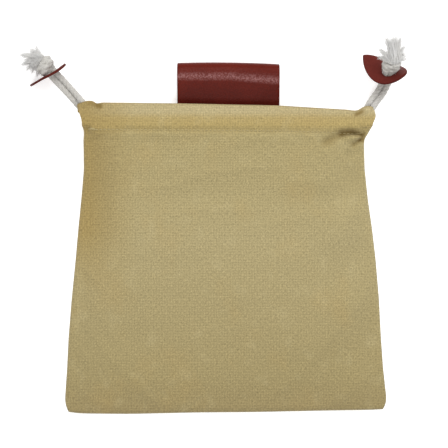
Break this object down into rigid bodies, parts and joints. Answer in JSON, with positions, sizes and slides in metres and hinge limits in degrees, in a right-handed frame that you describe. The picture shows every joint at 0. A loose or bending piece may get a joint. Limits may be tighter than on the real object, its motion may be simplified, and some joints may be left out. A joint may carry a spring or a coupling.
{
  "type": "drawstring treat pouch",
  "caption": "Flat canvas drawstring pouch with a wide leather belt loop, and cotton cord ends with leather stops, knots and frayed tips.",
  "frame": {"origin": "on the table, under the middle of the bag and its belt loop, loose cords left out", "axes": "+Z out of the bag's front, +Y towards the mouth and belt loop, +X to the right seen from the front"},
  "size_m": [0.317, 0.3089, 0.052],
  "materials": {
    "canvas": "khaki cotton canvas, plain weave",
    "canvas_inside": "khaki canvas seam allowance",
    "thread": "khaki sewing thread",
    "leather_thread": "brown waxed thread",
    "leather": "red-brown grained leather, semi-gloss",
    "snap_metal": "antique brass",
    "cotton_cord": "off-white twisted cotton cord",
    "cotton_fray": "loose off-white cotton fibres"
  },
  "bodies": {
    "pouch": {"front_panel": "canvas", "back_panel": "canvas", "left_side_seam": "canvas_inside", "right_side_seam": "canvas_inside", "bottom_seam": "canvas_inside", "front_casing_stitches": "thread", "back_casing_stitches": "thread", "strap_stitches": "leather_thread", "casing_end_tacks": "thread", "belt_loop_strap": "leather", "snap_studs": "snap_metal", "left_drawstring_bight": "cotton_cord", "right_drawstring_bight": "cotton_cord"},
    "loop_flap": {"belt_loop_flap": "leather", "snap_caps": "snap_metal"},
    "left_draw": {"left_front_tail": "cotton_cord", "left_back_tail": "cotton_cord"},
    "left_pull": {"left_front_strand": "cotton_cord", "left_back_strand": "cotton_cord", "left_knot": "cotton_cord", "left_tassel": "cotton_fray"},
    "left_cord_stop": {"left_stop": "leather"},
    "right_draw": {"right_front_tail": "cotton_cord", "right_back_tail": "cotton_cord"},
    "right_pull": {"right_front_strand": "cotton_cord", "right_back_strand": "cotton_cord", "right_knot": "cotton_cord", "right_tassel": "cotton_fray"},
    "right_cord_stop": {"right_stop": "leather"}
  },
  "joints": [
    {"name": "loop_flap_hinge", "type": "hinge", "parent": "pouch", "child": "loop_flap", "pos_m": [0, 0.1354, 0.0012], "axis": [1, 0, 0], "range_deg": [0, 150]},
    {"name": "left_cord_draw", "type": "slide", "parent": "pouch", "child": "left_draw", "axis": [-1, 0, 0], "range_m": [0, 0.025]},
    {"name": "left_cord_swing", "type": "hinge", "parent": "left_draw", "child": "left_pull", "pos_m": [-0.1096, 0.10035, 0.01825], "axis": [0, 0, 1], "range_deg": [-25, 40]},
    {"name": "left_stop_slide", "type": "slide", "parent": "left_pull", "child": "left_cord_stop", "axis": [0.6882, -0.7253, 0.0175], "range_m": [0, 0.012]},
    {"name": "right_cord_draw", "type": "slide", "parent": "pouch", "child": "right_draw", "axis": [1, 0, 0], "range_m": [0, 0.025]},
    {"name": "right_cord_swing", "type": "hinge", "parent": "right_draw", "child": "right_pull", "pos_m": [0.1096, 0.09515, 0.01825], "axis": [0, 0, 1], "range_deg": [-40, 25]},
    {"name": "right_stop_slide", "type": "slide", "parent": "right_pull", "child": "right_cord_stop", "axis": [-0.128, -0.6022, -0.788], "range_m": [0, 0.006]}
  ]
}
